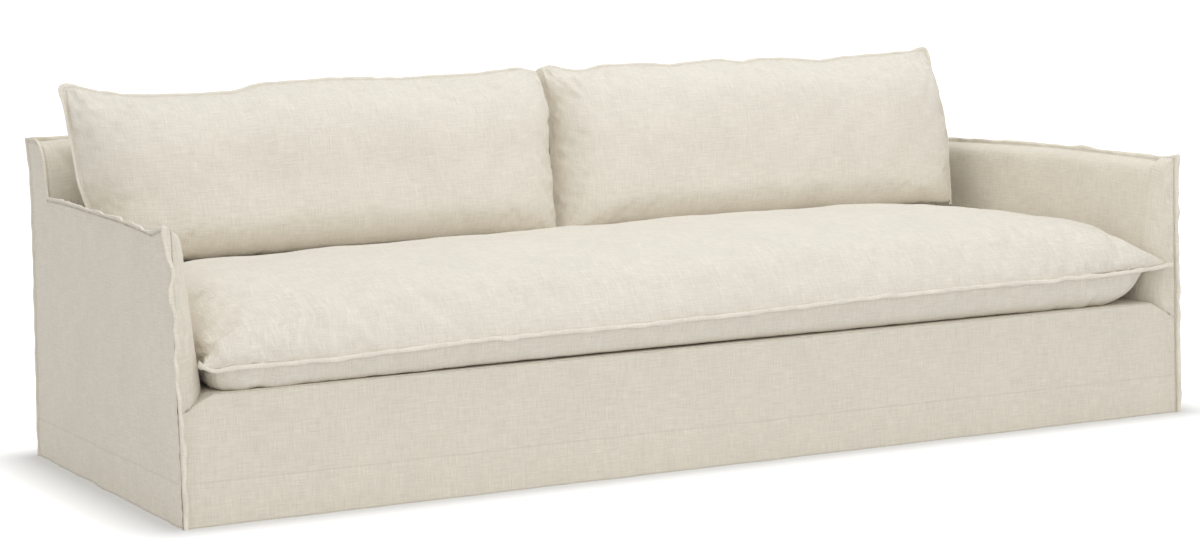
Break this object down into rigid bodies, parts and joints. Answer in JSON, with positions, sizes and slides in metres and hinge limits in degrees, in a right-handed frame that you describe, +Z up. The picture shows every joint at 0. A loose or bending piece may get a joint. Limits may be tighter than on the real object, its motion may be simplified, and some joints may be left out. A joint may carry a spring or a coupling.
{
  "type": "sofa slipcover with its cushions",
  "caption": "Fitted loose linen cover for a long low-armed sofa, hollow underneath, with a bench seat cushion and leaning back cushions, all with flanged seams.",
  "frame": {"origin": "on the floor under the middle of the cover", "axes": "+X towards the arm on a sitter's left, +Y towards the back of the sofa, +Z up; the front of the seat faces -Y"},
  "size_m": [2.5382, 1.1451, 0.8919],
  "materials": {
    "linen_cover": "washed oatmeal linen, matt, uneven slub weave",
    "linen_cushions": "washed oatmeal linen, matt, uneven slub weave, over a soft filling"
  },
  "bodies": {
    "root": {"side_left": "linen_cover", "side_right": "linen_cover", "arm_left": "linen_cover", "arm_right": "linen_cover", "back_inner": "linen_cover", "back_outer": "linen_cover", "deck": "linen_cover", "front_skirt": "linen_cover", "seat_cushion": "linen_cushions", "back_cushion_left": "linen_cushions", "back_cushion_right": "linen_cushions"}
  },
  "joints": []
}
